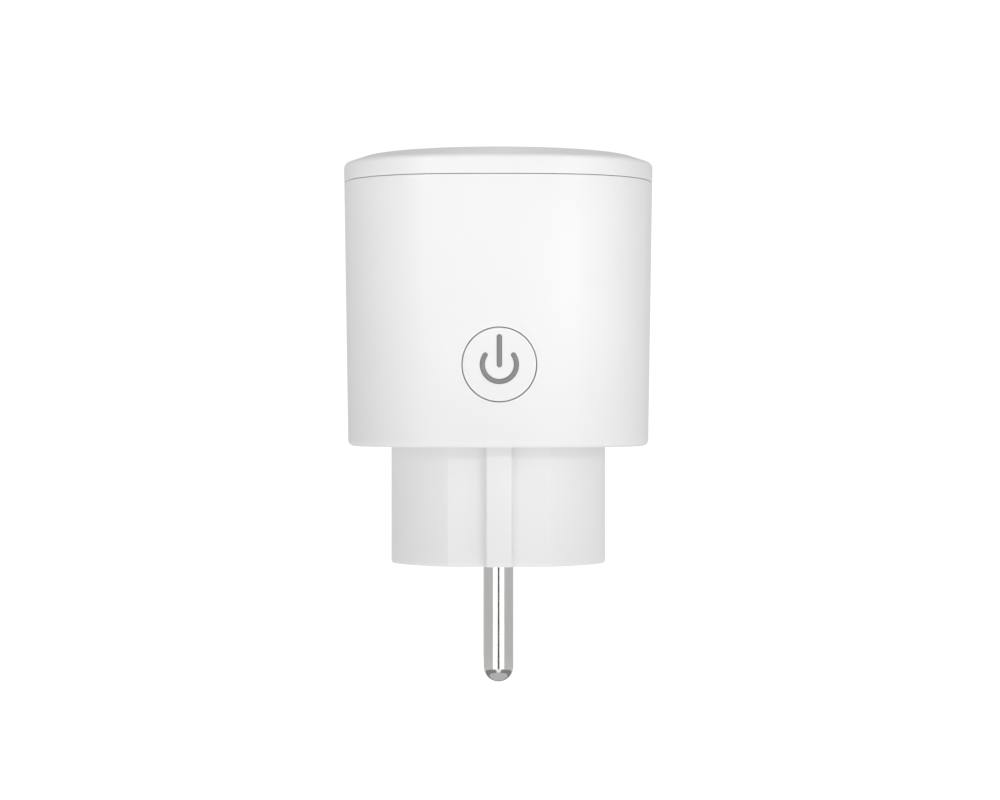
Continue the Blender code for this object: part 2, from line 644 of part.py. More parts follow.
def main():
    clear_scene()
    white = (0.80, 0.80, 0.795)
    green = (0.03, 0.16, 0.07)
    black = (0.025, 0.025, 0.028)
    steel = (0.62, 0.61, 0.58)
    nickel = (0.70, 0.69, 0.66)
    looks = {
        "body_shell": (white, 0.32, 0.0),
        "socket_cover": (white, 0.32, 0.0),
        "plug_base": (white, 0.35, 0.0),
        "power_button": (white, 0.32, 0.0),
        "button_light_guide": ((0.30, 0.30, 0.31), 0.4, 0.0),
        "shutter_tray": ((0.72, 0.72, 0.70), 0.5, 0.0),
        "shutter": ((0.75, 0.75, 0.74), 0.4, 0.0),
        "shutter_spring": (steel, 0.3, 1.0),
        "contact_carrier": ((0.70, 0.69, 0.66), 0.55, 0.0),
        "line_pin": (nickel, 0.22, 1.0),
        "neutral_pin": (nickel, 0.22, 1.0),
        "earth_strap_left": (nickel, 0.3, 1.0),
        "earth_strap_right": (nickel, 0.3, 1.0),
        "earth_bridge": ((0.72, 0.55, 0.26), 0.35, 1.0),
        "earth_clip_left": (nickel, 0.3, 1.0),
        "earth_clip_right": (nickel, 0.3, 1.0),
        "line_socket_contact": ((0.72, 0.55, 0.26), 0.3, 1.0),
        "neutral_socket_contact": ((0.72, 0.55, 0.26), 0.3, 1.0),
        "main_pcb": (green, 0.4, 0.0),
        "control_pcb": (green, 0.4, 0.0),
        "tact_switch_body": (black, 0.5, 0.0),
        "tact_switch_plunger": ((0.5, 0.5, 0.48), 0.5, 0.0),
        "status_led": ((0.75, 0.80, 0.85), 0.15, 0.0),
        "relay": (black, 0.45, 0.0),
        "bulk_capacitor_1": ((0.03, 0.04, 0.10), 0.35, 0.0),
        "bulk_capacitor_2": ((0.03, 0.04, 0.10), 0.35, 0.0),
        "output_capacitor": ((0.03, 0.04, 0.10), 0.35, 0.0),
        "power_inductor": ((0.02, 0.02, 0.02), 0.4, 0.0),
        "varistor": ((0.02, 0.10, 0.35), 0.4, 0.0),
        "film_capacitor": ((0.70, 0.50, 0.08), 0.45, 0.0),
        "fuse_resistor": ((0.10, 0.28, 0.16), 0.45, 0.0),
        "bridge_rectifier": (black, 0.5, 0.0),
        "power_controller_chip": (black, 0.5, 0.0),
        "metering_chip": (black, 0.5, 0.0),
        "current_shunt": ((0.60, 0.42, 0.28), 0.35, 1.0),
        "radio_module": ((0.02, 0.05, 0.16), 0.4, 0.0),
        "radio_shield": (steel, 0.3, 1.0),
        "board_header": (black, 0.5, 0.0),
    }
    pieces = [build_body_shell(), build_plug_base(), build_socket_cover()]
    pieces += build_button()
    pieces += [build_pin("line_pin", -1), build_pin("neutral_pin", 1)]
    for name, sx in (("left", -1), ("right", 1)):
        pieces.append(build_earth_strap(f"earth_strap_{name}", sx))
        pieces.append(build_earth_clip(f"earth_clip_{name}", sx))
    pieces.append(build_earth_bridge())
    pieces += [build_socket_contact("line_socket_contact", -1), build_socket_contact("neutral_socket_contact", 1)]
    pieces += build_shutter_parts()
    pieces.append(build_contact_carrier())
    pieces += build_electronics()
    pieces += build_screws()
    for obj in pieces:
        color, roughness, metallic = looks.get(obj.name, (steel, 0.35, 1.0))
        finish(obj, material(obj.name, color, roughness, metallic))


main()
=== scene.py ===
"""Looks of the plug in power meter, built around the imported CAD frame.

Lengths inside this file are in millimetres and become metres when a mesh is made.
"""

import json
import math

import bmesh
import bpy
from mathutils import Matrix, Vector
from mathutils.geometry import delaunay_2d_cdt


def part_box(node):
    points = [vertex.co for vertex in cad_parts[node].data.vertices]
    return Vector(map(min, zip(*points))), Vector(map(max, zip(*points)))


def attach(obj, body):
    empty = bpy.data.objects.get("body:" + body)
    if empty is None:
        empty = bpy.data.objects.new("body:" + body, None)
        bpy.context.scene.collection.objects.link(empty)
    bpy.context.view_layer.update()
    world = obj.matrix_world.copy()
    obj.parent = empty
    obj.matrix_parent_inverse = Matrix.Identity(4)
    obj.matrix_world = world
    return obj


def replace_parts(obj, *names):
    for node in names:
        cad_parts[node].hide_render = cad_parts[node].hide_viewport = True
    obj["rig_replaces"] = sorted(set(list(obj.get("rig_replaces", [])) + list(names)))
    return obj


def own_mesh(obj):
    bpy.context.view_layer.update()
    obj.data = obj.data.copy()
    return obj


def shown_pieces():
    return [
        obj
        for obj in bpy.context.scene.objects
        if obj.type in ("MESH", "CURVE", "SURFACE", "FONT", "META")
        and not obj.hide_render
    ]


MM = 0.001

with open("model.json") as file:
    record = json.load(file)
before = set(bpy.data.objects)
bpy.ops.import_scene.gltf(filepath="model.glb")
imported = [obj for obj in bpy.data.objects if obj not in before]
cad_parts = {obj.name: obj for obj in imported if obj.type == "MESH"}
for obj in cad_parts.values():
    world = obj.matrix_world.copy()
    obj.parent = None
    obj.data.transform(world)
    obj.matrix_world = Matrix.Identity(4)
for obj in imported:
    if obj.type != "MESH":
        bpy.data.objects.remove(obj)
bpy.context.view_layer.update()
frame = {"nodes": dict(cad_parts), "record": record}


def box_mm(node):
    low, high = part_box(node)
    return low / MM, high / MM


# ------------------------------------------------------------ sizes from the frame
BODY_LOW, BODY_HIGH = box_mm("body_shell")
COVER_LOW, COVER_HIGH = box_mm("socket_cover")
BASE_LOW, BASE_HIGH = box_mm("plug_base")
BUTTON_LOW, BUTTON_HIGH = box_mm("power_button")
PIN_LOW, PIN_HIGH = box_mm("line_pin")
FAR_PIN_LOW, FAR_PIN_HIGH = box_mm("neutral_pin")
STRAP_LOW, STRAP_HIGH = box_mm("earth_strap_right")
CLIP_LOW, CLIP_HIGH = box_mm("earth_clip_right")
SPRING_LOW, SPRING_HIGH = box_mm("shutter_spring")

POWER = 2.75  # superellipse exponent of the body's plan
BODY_TOP = BODY_HIGH.z
BODY_BOTTOM = BODY_LOW.z
HALF_TOP = BODY_HIGH.x
HALF_BOTTOM = HALF_TOP - 0.65
WALL = 2.0
FLOOR_HOLE_R = 14.5
COVER_HALF = COVER_HIGH.x
RIM_Z = COVER_HIGH.z
RIM_R = 22.2
COVER_EDGE_Z = RIM_Z - 1.4
WELL_R = 19.5
WELL_FLOOR_Z = RIM_Z - 17.5
WELL_FLOOR = 1.6
WELL_FLAT = 17.3
BASE_R = BASE_HIGH.y
BASE_TOP = BODY_BOTTOM - 0.03
BASE_FLAT = 16.6
CHANNEL_HALF = 5.5
CHANNEL_FLOOR = 16.2
BUTTON_Z = (BUTTON_LOW.z + BUTTON_HIGH.z) / 2
BUTTON_R = 5.81
HOLE_R = 5.96
PIN_Y = -(PIN_LOW.y + PIN_HIGH.y) / 2
PIN_R = 2.4
PIN_TIP = PIN_LOW.z
PIN_TOP = PIN_HIGH.z
PARTING_LOW = BODY_TOP + 0.08
PARTING_HIGH = BODY_TOP + 0.165


# ------------------------------------------------------------ mesh helpers
def make(name, verts, faces, sharp=30.0):
    mesh = bpy.data.meshes.new(name)
    mesh.from_pydata([(x * MM, y * MM, z * MM) for x, y, z in verts], [], faces)
    mesh.validate()
    bm = bmesh.new()
    bm.from_mesh(mesh)
    bmesh.ops.recalc_face_normals(bm, faces=bm.faces)
    bm.to_mesh(mesh)
    bm.free()
    obj = bpy.data.objects.new(name, mesh)
    bpy.context.scene.collection.objects.link(obj)
    soften(obj, sharp)
    return obj


def soften(obj, sharp=30.0):
    obj.data.shade_smooth()
    obj.data.set_sharp_from_angle(angle=math.radians(sharp))
    return obj


def ring_faces(a, b, count, closed=True):
    out = []
    for i in range(count if closed else count - 1):
        j = (i + 1) % count
        out.append((a + i, a + j, b + j, b + i))
    return out


def loft(name, rings, closed=False, caps=True, sharp=30.0):
    count = len(rings[0])
    verts = [p for ring in rings for p in ring]
    faces = []
    for k in range(len(rings) - 1):
        faces += ring_faces(k * count, (k + 1) * count, count)
    if closed:
        faces += ring_faces((len(rings) - 1) * count, 0, count)
    elif caps:
        faces.append(tuple(range(count)))
        faces.append(tuple((len(rings) - 1) * count + i for i in range(count)))
    return make(name, verts, faces, sharp)


def prism(name, outline, low, high, axis="Z"):
    def place(p, h):
        return {"Z": (p[0], p[1], h), "Y": (p[0], h, p[1]), "X": (h, p[0], p[1])}[axis]

    return loft(name, [[place(p, low) for p in outline], [place(p, high) for p in outline]])


def disc(centre, radius, count=48):
    return [
        (centre[0] + radius * math.cos(2 * math.pi * i / count), centre[1] + radius * math.sin(2 * math.pi * i / count))
        for i in range(count)
    ]


def turned(name, centre, profile, count=64, closed=False, sharp=30.0):
    rings = [
        [
            (centre[0] + r * math.cos(2 * math.pi * i / count), centre[1] + r * math.sin(2 * math.pi * i / count), z)
            for i in range(count)
        ]
        for r, z in profile
    ]
    return loft(name, rings, closed=closed, sharp=sharp)


def rect(x0, x1, y0, y1):
    return [(x0, y0), (x1, y0), (x1, y1), (x0, y1)]


def combine(obj, tools, operation="DIFFERENCE", sharp=30.0):
    """Apply boolean tools to an object's mesh, then drop them."""
    for tool in tools:
        mod = obj.modifiers.new("combine", "BOOLEAN")
        mod.operation = operation
        mod.solver = "EXACT"
        mod.object = tool
    bpy.context.view_layer.update()
    graph = bpy.context.evaluated_depsgraph_get()
    mesh = bpy.data.meshes.new_from_object(obj.evaluated_get(graph))
    obj.modifiers.clear()
    obj.data = mesh
    for tool in tools:
        bpy.data.objects.remove(tool, do_unlink=True)
    bm = bmesh.new()
    bm.from_mesh(obj.data)
    bmesh.ops.remove_doubles(bm, verts=bm.verts, dist=0.001 * MM)
    bmesh.ops.dissolve_degenerate(bm, edges=bm.edges, dist=0.0005 * MM)
    bm.to_mesh(obj.data)
    bm.free()
    return soften(obj, sharp)


def bevel(obj, width, segments=2, angle=40.0):
    mod = obj.modifiers.new("edge_rounding", "BEVEL")
    mod.width = width * MM
    mod.segments = segments
    mod.limit_method = "ANGLE"
    mod.angle_limit = math.radians(angle)
    mod.use_clamp_overlap = True
    mod.harden_normals = False
    return obj


def rounded(points, steps=5):
    """Round the corners of a closed outline given as (x, y, radius) points."""
    out = []
    n = len(points)
    for i, (x, y, r) in enumerate(points):
        if r <= 0:
            out.append((x, y))
            continue
        p = Vector((x, y))
        a = (Vector(points[i - 1][:2]) - p).normalized()
        b = (Vector(points[(i + 1) % n][:2]) - p).normalized()
        angle = a.angle(b)
        if angle > math.radians(178):
            out.append((x, y))
            continue
        reach = r / math.tan(angle / 2)
        centre = p + (a + b).normalized() * (r / math.sin(angle / 2))
        start, end = p + a * reach - centre, p + b * reach - centre
        sweep = math.atan2(start.x * end.y - start.y * end.x, start.dot(end))
        for k in range(steps + 1):
            t = sweep * k / steps
            c, s = math.cos(t), math.sin(t)
            out.append((centre.x + start.x * c - start.y * s, centre.y + start.x * s + start.y * c))
    return out


def arc(radius, start, end, steps, centre=(0.0, 0.0)):
    return [
        (centre[0] + radius * math.cos(math.radians(start + (end - start) * i / steps)),
         centre[1] + radius * math.sin(math.radians(start + (end - start) * i / steps)))
        for i in range(steps + 1)
    ]


def squircle_r(t):
    c, s = abs(math.cos(t)), abs(math.sin(t))
    return 1.0 / (c**POWER + s**POWER) ** (1 / POWER)


def squircle(half, z, angles):
    return [(half * squircle_r(t) * math.cos(t), half * squircle_r(t) * math.sin(t), z) for t in angles]


def circle(radius, z, angles):
    return [(radius * math.cos(t), radius * math.sin(t), z) for t in angles]


def mixed(half, radius, share, z, angles):
    """A ring between the rounded square (share 0) and the circle (share 1)."""
    out = []
    for t in angles:
        r = half * squircle_r(t) * (1 - share) + radius * share
        out.append((r * math.cos(t), r * math.sin(t), z))
    return out


def body_half(z):
    return HALF_BOTTOM + (HALF_TOP - HALF_BOTTOM) * (z - BODY_BOTTOM) / (BODY_TOP - BODY_BOTTOM)


def front_y(x, z, inset=0.0):
    a = body_half(z) - inset
    return -a * max(0.0, 1 - (abs(x) / a) ** POWER) ** (1 / POWER)


# ------------------------------------------------------------ materials
def new_material(name, slot=None):
    mat = bpy.data.materials.new(name)
    mat.use_nodes = True
    nodes, links = mat.node_tree.nodes, mat.node_tree.links
    shader = nodes["Principled BSDF"]
    coords = nodes.new("ShaderNodeTexCoord")
    return mat, nodes, links, shader, coords


def noise(nodes, links, coords, scale, detail=3.0, rough=0.5, stretch=None):
    tex = nodes.new("ShaderNodeTexNoise")
    tex.inputs["Scale"].default_value = scale
    tex.inputs["Detail"].default_value = detail
    tex.inputs["Roughness"].default_value = rough
    if stretch:
        mapping = nodes.new("ShaderNodeMapping")
        mapping.inputs["Scale"].default_value = stretch
        links.new(coords.outputs["Object"], mapping.inputs["Vector"])
        links.new(mapping.outputs["Vector"], tex.inputs["Vector"])
    else:
        links.new(coords.outputs["Object"], tex.inputs["Vector"])
    return tex


def ramp(nodes, links, source, stops):
    node = nodes.new("ShaderNodeValToRGB")
    while len(node.color_ramp.elements) < len(stops):
        node.color_ramp.elements.new(0.5)
    for element, (place, colour) in zip(node.color_ramp.elements, stops):
        element.position = place
        element.color = (*colour, 1.0)
    links.new(source, node.inputs["Fac"])
    return node


def span(nodes, links, source, low, high):
    node = nodes.new("ShaderNodeMapRange")
    node.inputs["To Min"].default_value = low
    node.inputs["To Max"].default_value = high
    links.new(source, node.inputs["Value"])
    return node


def add_bump(nodes, links, shader, source, strength, distance):
    node = nodes.new("ShaderNodeBump")
    node.inputs["Strength"].default_value = strength
    node.inputs["Distance"].default_value = distance * MM
    links.new(source, node.inputs["Height"])
    links.new(node.outputs["Normal"], shader.inputs["Normal"])
    return node


def plastic(name, colour, roughness=0.36, vary=0.012, grain=2600.0, depth=0.010, spec=0.5, translucency=0.0):
    """Moulded plastic: faint tone drift, uneven gloss and a fine spark-eroded grain."""
    mat, nodes, links, shader, coords = new_material(name)
    broad = noise(nodes, links, coords, 60.0, 2.0)
    low = tuple(max(0.0, c * (1 - vary)) for c in colour)
    high = tuple(min(1.0, c * (1 + vary)) for c in colour)
    tone = ramp(nodes, links, broad.outputs["Fac"], [(0.3, low), (0.7, high)])
    links.new(tone.outputs["Color"], shader.inputs["Base Color"])
    fine = noise(nodes, links, coords, grain, 3.0, 0.6)
    gloss = span(nodes, links, fine.outputs["Fac"], roughness - 0.03, roughness + 0.03)
    links.new(gloss.outputs["Result"], shader.inputs["Roughness"])
    add_bump(nodes, links, shader, fine.outputs["Fac"], 0.35, depth)
    shader.inputs["Specular IOR Level"].default_value = spec
    if translucency:
        shader.inputs["Subsurface Weight"].default_value = translucency
        shader.inputs["Subsurface Radius"].default_value = (0.0012, 0.0012, 0.0012)
        shader.inputs["Subsurface Scale"].default_value = 1.0
    return mat


def metal(name, colour, roughness=0.2, streak=(1.0, 1.0, 1.0), scale=900.0, depth=0.004, vary=0.05, spread=0.06):
    """Plated or bare metal with drawn or rolled streaks along one direction."""
    mat, nodes, links, shader, coords = new_material(name)
    lines = noise(nodes, links, coords, scale, 4.0, 0.6, stretch=streak)
    low = tuple(c * (1 - vary) for c in colour)
    high = tuple(min(1.0, c * (1 + vary)) for c in colour)
    tone = ramp(nodes, links, lines.outputs["Fac"], [(0.35, low), (0.65, high)])
    links.new(tone.outputs["Color"], shader.inputs["Base Color"])
    shader.inputs["Metallic"].default_value = 1.0
    rough = span(nodes, links, lines.outputs["Fac"], max(0.02, roughness - spread), roughness + spread)
    links.new(rough.outputs["Result"], shader.inputs["Roughness"])
    add_bump(nodes, links, shader, lines.outputs["Fac"], 0.4, depth)
    return mat


def board(name, mask, track):
    """Solder mask over copper tracks."""
    mat, nodes, links, shader, coords = new_material(name)
    cells = nodes.new("ShaderNodeTexVoronoi")
    cells.feature = "DISTANCE_TO_EDGE"
    cells.distance = "EUCLIDEAN"
    cells.inputs["Scale"].default_value = 260.0
    links.new(coords.outputs["Object"], cells.inputs["Vector"])
    edge = ramp(nodes, links, cells.outputs["Distance"], [(0.06, mask), (0.12, track)])
    links.new(edge.outputs["Color"], shader.inputs["Base Color"])
    fine = noise(nodes, links, coords, 900.0, 3.0)
    rough = span(nodes, links, fine.outputs["Fac"], 0.28, 0.42)
    links.new(rough.outputs["Result"], shader.inputs["Roughness"])
    add_bump(nodes, links, shader, cells.outputs["Distance"], 0.2, 0.03)
    return mat


WHITE = (0.80, 0.80, 0.80)
MATERIALS = {
    "white_housing": plastic("white_housing", WHITE, 0.34),
    "white_cover": plastic("white_cover", WHITE, 0.34),
    "white_base": plastic("white_base", WHITE, 0.38),
    "white_button": plastic("white_button", WHITE, 0.34),
    "grey_icon": plastic("grey_icon", (0.215, 0.215, 0.215), 0.32, 0.05, 1800.0, 0.012),
    "natural_plastic": plastic("natural_plastic", (0.70, 0.69, 0.66), 0.5, 0.03, 1500.0, 0.02),
    "shutter_plastic": plastic("shutter_plastic", (0.76, 0.76, 0.75), 0.42, 0.02, 1500.0, 0.015),
    "spring_steel": metal("spring_steel", (0.60, 0.60, 0.59), 0.22, (1.0, 4.0, 4.0), 1500.0),
    "nickel_pin": metal("nickel_pin", (0.81, 0.81, 0.80), 0.13, (1.0, 1.0, 0.12), 2600.0, 0.003, 0.02, 0.04),
    "nickel_strip": metal("nickel_strip", (0.66, 0.65, 0.62), 0.24, (1.0, 5.0, 0.25), 900.0, 0.004),
    "brass_strip": metal("brass_strip", (0.72, 0.53, 0.24), 0.26, (1.0, 5.0, 0.25), 900.0, 0.004),
    "board_green": board("board_green", (0.014, 0.10, 0.035), (0.03, 0.20, 0.07)),
    "board_blue": board("board_blue", (0.012, 0.03, 0.12), (0.02, 0.06, 0.24)),
    "black_plastic": plastic("black_plastic", (0.022, 0.022, 0.024), 0.48, 0.15, 1800.0, 0.02),
    "grey_plastic": plastic("grey_plastic", (0.46, 0.46, 0.44), 0.48, 0.03, 1800.0, 0.02),
    "led_lens": plastic("led_lens", (0.78, 0.82, 0.86), 0.12, 0.02, 1500.0, 0.002, 0.6, 0.3),
    "capacitor_sleeve": plastic("capacitor_sleeve", (0.018, 0.025, 0.075), 0.30, 0.1, 1200.0, 0.01),
    "ferrite": plastic("ferrite", (0.018, 0.018, 0.018), 0.42, 0.2, 900.0, 0.03),
    "blue_epoxy": plastic("blue_epoxy", (0.015, 0.09, 0.36), 0.28, 0.08, 700.0, 0.03),
    "yellow_box": plastic("yellow_box", (0.62, 0.42, 0.06), 0.42, 0.05, 1500.0, 0.02),
    "green_enamel": plastic("green_enamel", (0.07, 0.24, 0.14), 0.30, 0.08, 900.0, 0.02),
    "shunt_alloy": metal("shunt_alloy", (0.60, 0.42, 0.30), 0.30, (0.3, 5.0, 1.0), 900.0),
    "tin_shield": metal("tin_shield", (0.62, 0.62, 0.60), 0.26, (0.3, 1.0, 3.0), 700.0),
    "screw_steel": metal("screw_steel", (0.60, 0.60, 0.58), 0.28, (1.0, 1.0, 0.4), 1500.0),
}


def dress(obj, slot):
    obj.data.materials.clear()
    obj.data.materials.append(MATERIALS[slot])
    return obj


def place(obj, body, slot, *nodes):
    dress(obj, slot)
    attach(obj, body)
    if nodes:
        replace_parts(obj, *nodes)
    return obj


# ------------------------------------------------------------ body shell
def build_body():
    count = 360
    angles = [math.radians(i * 360 / count) for i in range(count)]
    side = 20
    i0, i1 = 270 - side, 270 + side
    step = 0.46
    near = [BUTTON_Z + step * (side - k) for k in range(2 * side + 1)]
    above = [BODY_TOP - 0.10, 60.5, 58.5, 56.5, 54.5, 52.5, 50.5, 48.6, 46.8, 45.2, 43.8, 42.7]
    shared = above + near
    j0, j1 = len(above), len(shared) - 1
    fillet = 0.9
    low = BODY_BOTTOM + fillet

    rings, marks = [], {}
    marks["outer"] = len(rings)
    for z in shared:
        rings.append(squircle(body_half(z), z, angles))
    rings.append(squircle(body_half(21.6), 21.6, angles))
    rings.append(squircle(body_half(low + 0.5), low + 0.5, angles))
    for k in range(9):
        a = math.radians(90 * k / 8)
        rings.append(squircle(body_half(low) - fillet * (1 - math.cos(a)), low - fillet * math.sin(a), angles))
    rings.append(mixed(body_half(low) - fillet, FLOOR_HOLE_R, 0.55, BODY_BOTTOM, angles))
    rings.append(circle(FLOOR_HOLE_R, BODY_BOTTOM, angles))
    floor = BODY_BOTTOM + 2.0
    rings.append(circle(FLOOR_HOLE_R, floor, angles))
    rings.append(squircle(body_half(floor) - WALL - 0.5, floor, angles))
    rings.append(squircle(body_half(floor) - WALL, floor + 0.5, angles))
    marks["inner"] = len(rings)
    for z in reversed(shared):
        rings.append(squircle(body_half(z) - WALL, z, angles))
    top = body_half(BODY_TOP)
    rings.append(squircle(top - WALL, PARTING_LOW, angles))
    rings.append(squircle(top - 0.14, PARTING_LOW, angles))
    for k in range(1, 4):
        a = math.radians(90 * k / 4)
        rings.append(squircle(top - 0.14 + 0.14 * math.sin(a), PARTING_LOW - 0.14 * (1 - math.cos(a)), angles))

    verts = [p for ring in rings for p in ring]
    faces = []
    total = len(rings)
    last = len(shared) - 1
    hole = {"outer": (marks["outer"] + j0, marks["outer"] + j1), "inner": (marks["inner"], marks["inner"] + last - j0)}
    for k in range(total):
        a, b = k * count, ((k + 1) % total) * count
        in_block = any(lo <= k < hi for lo, hi in hole.values())
        for i in range(count):
            if in_block and i0 <= i < i1:
                continue
            j = (i + 1) % count
            faces.append((a + i, a + j, b + j, b + i))

    def patch(rows, inset, radii):
        """Fill the square left open in the grid with rings that close on the button hole."""
        loop = [rows[0] * count + i for i in range(i0, i1)]
        loop += [k * count + i1 for k in rows[:-1]]
        loop += [rows[-1] * count + i for i in range(i1, i0, -1)]
        loop += [k * count + i0 for k in rows[:0:-1]]
        flat = [(verts[v][0], verts[v][2] - BUTTON_Z) for v in loop]
        previous = loop
        steps = 9
        for s in range(1, steps + 1):
            t = (s / steps) ** 0.85
            current = []
            for x, z in flat:
                a = math.atan2(z, x)
                cx, cz = radii[0] * math.cos(a), radii[0] * math.sin(a)
                px, pz = x + (cx - x) * t, z + (cz - z) * t
                current.append(len(verts))
                verts.append((px, front_y(px, pz + BUTTON_Z, inset), pz + BUTTON_Z))
            for n in range(len(loop)):
                m = (n + 1) % len(loop)
                faces.append((previous[n], previous[m], current[m], current[n]))
            previous = current
        return previous, flat

    rim, flat = patch(list(range(hole["outer"][0], hole["outer"][1] + 1)), 0.0, [HOLE_R + 0.06])
    back, flat_back = patch(list(range(hole["inner"][1], hole["inner"][0] - 1, -1)), WALL, [HOLE_R])
    previous = rim
    for radius, sink in ((HOLE_R + 0.018, 0.018), (HOLE_R, 0.06), (HOLE_R, 1.0)):
        current = []
        for x, z in flat:
            a = math.atan2(z, x)
            px, pz = radius * math.cos(a), radius * math.sin(a)
            current.append(len(verts))
            verts.append((px, front_y(px, pz + BUTTON_Z) + sink, pz + BUTTON_Z))
        for n in range(len(current)):
            m = (n + 1) % len(current)
            faces.append((previous[n], previous[m], current[m], current[n]))
        previous = current
    size = len(previous)
    turn = min(range(size), key=lambda s: sum(
        (Vector(verts[previous[n]]) - Vector(verts[back[(n + s) % size]])).length for n in range(0, size, 7)))
    for n in range(size):
        m = (n + 1) % size
        faces.append((previous[n], previous[m], back[(m + turn) % size], back[(n + turn) % size]))
    shell = make("body_shell_finish", verts, faces, 28)
    return place(shell, "housing", "white_housing", "body_shell")


# ------------------------------------------------------------ socket cover
def well_outline():
    """Plan of the socket well: a circle with a flat on each side, each with its guide groove."""
    r = WELL_R
    flat = math.degrees(math.asin(WELL_FLAT / r))
    groove_y = math.sqrt(r * r - 2.6**2)
    quarter = [(x, y, 0.0) for x, y in arc(r, 0.0, flat - 1.2, 48)]
    quarter.append((r * math.cos(math.radians(flat)), WELL_FLAT, 0.35))
    for x in (7.4, 6.2, 5.0, 3.8):
        quarter.append((x, WELL_FLAT, 0.0))
    quarter.append((2.6, WELL_FLAT, 0.3))
    quarter.append((2.6, groove_y, 0.25))
    quarter += [(r * math.cos(math.radians(a)), r * math.sin(math.radians(a)), 0.0) for a in (85.0, 87.5)]
    quarter.append((0.0, r, 0.0))
    half = quarter + [(-x, y, q) for x, y, q in reversed(quarter[:-1])]
    full = half + [(x, -y, q) for x, y, q in reversed(half[1:-1])]
    return rounded(full, 4)


def build_cover():
    plan = well_outline()
    angles = [math.atan2(y, x) for x, y in plan]

    def well(z, shrink=0.0):
        k = 1 - shrink / WELL_R
        return [(x * k, y * k, z) for x, y in plan]

    flats_top = COVER_EDGE_Z - 1.8
    start = PARTING_HIGH
    wall = COVER_HALF
    lip = body_half(BODY_TOP) - WALL - 0.3
    rings = [well(WELL_FLOOR_Z, 0.5), well(WELL_FLOOR_Z + 0.09, 0.17), well(WELL_FLOOR_Z + 0.4)]
    rings += [well(flats_top - 0.3), well(flats_top - 0.08, -0.09)]
    rings.append(circle(WELL_R, flats_top, angles))
    rings.append(circle(WELL_R, flats_top + 0.25, angles))
    rings.append(circle(WELL_R, RIM_Z - 0.75, angles))
    for k in range(1, 7):
        a = math.radians(90 * k / 6)
        rings.append(circle(WELL_R + 0.75 * (1 - math.cos(a)), RIM_Z - 0.75 + 0.75 * math.sin(a), angles))
    # flat rim, a soft break, then the skirt that falls away to the rounded square edge
    rings.append(circle(RIM_R - 0.35, RIM_Z, angles))
    rings.append(circle(RIM_R - 0.05, RIM_Z - 0.015, angles))
    rings.append(circle(RIM_R + 0.25, RIM_Z - 0.075, angles))
    round_r, tangent = 0.8, COVER_EDGE_Z - 0.70
    centre = wall - round_r
    edge = centre + round_r * math.cos(math.radians(62))
    z0, z1 = RIM_Z - 0.075, tangent + round_r * math.sin(math.radians(62))
    for k in range(1, 10):
        t = k / 9
        rings.append(mixed(edge, RIM_R + 0.25, 1 - t, z0 + (z1 - z0) * (0.9 * t + 0.1 * t * t), angles))
    for k in range(1, 11):
        a = math.radians(62 - 62 * k / 10)
        rings.append(squircle(centre + round_r * math.cos(a), tangent + round_r * math.sin(a), angles))
    rings.append(squircle(wall - 0.03, start + 0.5, angles))
    for k in range(0, 4):
        a = math.radians(90 * k / 3)
        rings.append(squircle(wall - 0.04 - 0.12 * (1 - math.cos(a)), start + 0.12 * (1 - math.sin(a)), angles))
    rings.append(squircle(lip, start, angles))
    rings.append(squircle(lip, start - 2.3, angles))
    rings.append(squircle(lip - 0.3, start - 2.6, angles))
    rings.append(squircle(lip - 1.0, start - 2.6, angles))
    rings.append(squircle(lip - 1.0, COVER_EDGE_Z - 1.2, angles))
    rings.append(circle(WELL_R + 1.5, COVER_EDGE_Z - 1.2, angles))
    rings.append(circle(WELL_R + 1.5, WELL_FLOOR_Z - WELL_FLOOR, angles))
    cover = loft("socket_cover_finish", rings, sharp=32)

    cutters = []
    for sy in (-1, 1):
        y = sy * PIN_Y
        cutters.append(turned("hole", (0, y), [
            (3.6, WELL_FLOOR_Z + 0.5), (3.6, WELL_FLOOR_Z + 0.02), (3.42, WELL_FLOOR_Z - 0.10), (3.15, WELL_FLOOR_Z - 0.33),
            (3.02, WELL_FLOOR_Z - 0.55), (3.0, WELL_FLOOR_Z - 0.8), (3.0, WELL_FLOOR_Z - 3.0)], 64))
    for sx in (-1, 1):
        lo, hi = sorted((sx * 18.6, sx * 21.9))
        cutters.append(prism("slot", rounded([(-4.3, 46.0, 0), (4.3, 46.0, 0), (4.3, COVER_EDGE_Z - 0.7, 0.6), (-4.3, COVER_EDGE_Z - 0.7, 0.6)], 5), lo, hi, "X"))
    combine(cover, cutters, sharp=32)
    return place(cover, "housing", "white_cover", "socket_cover")


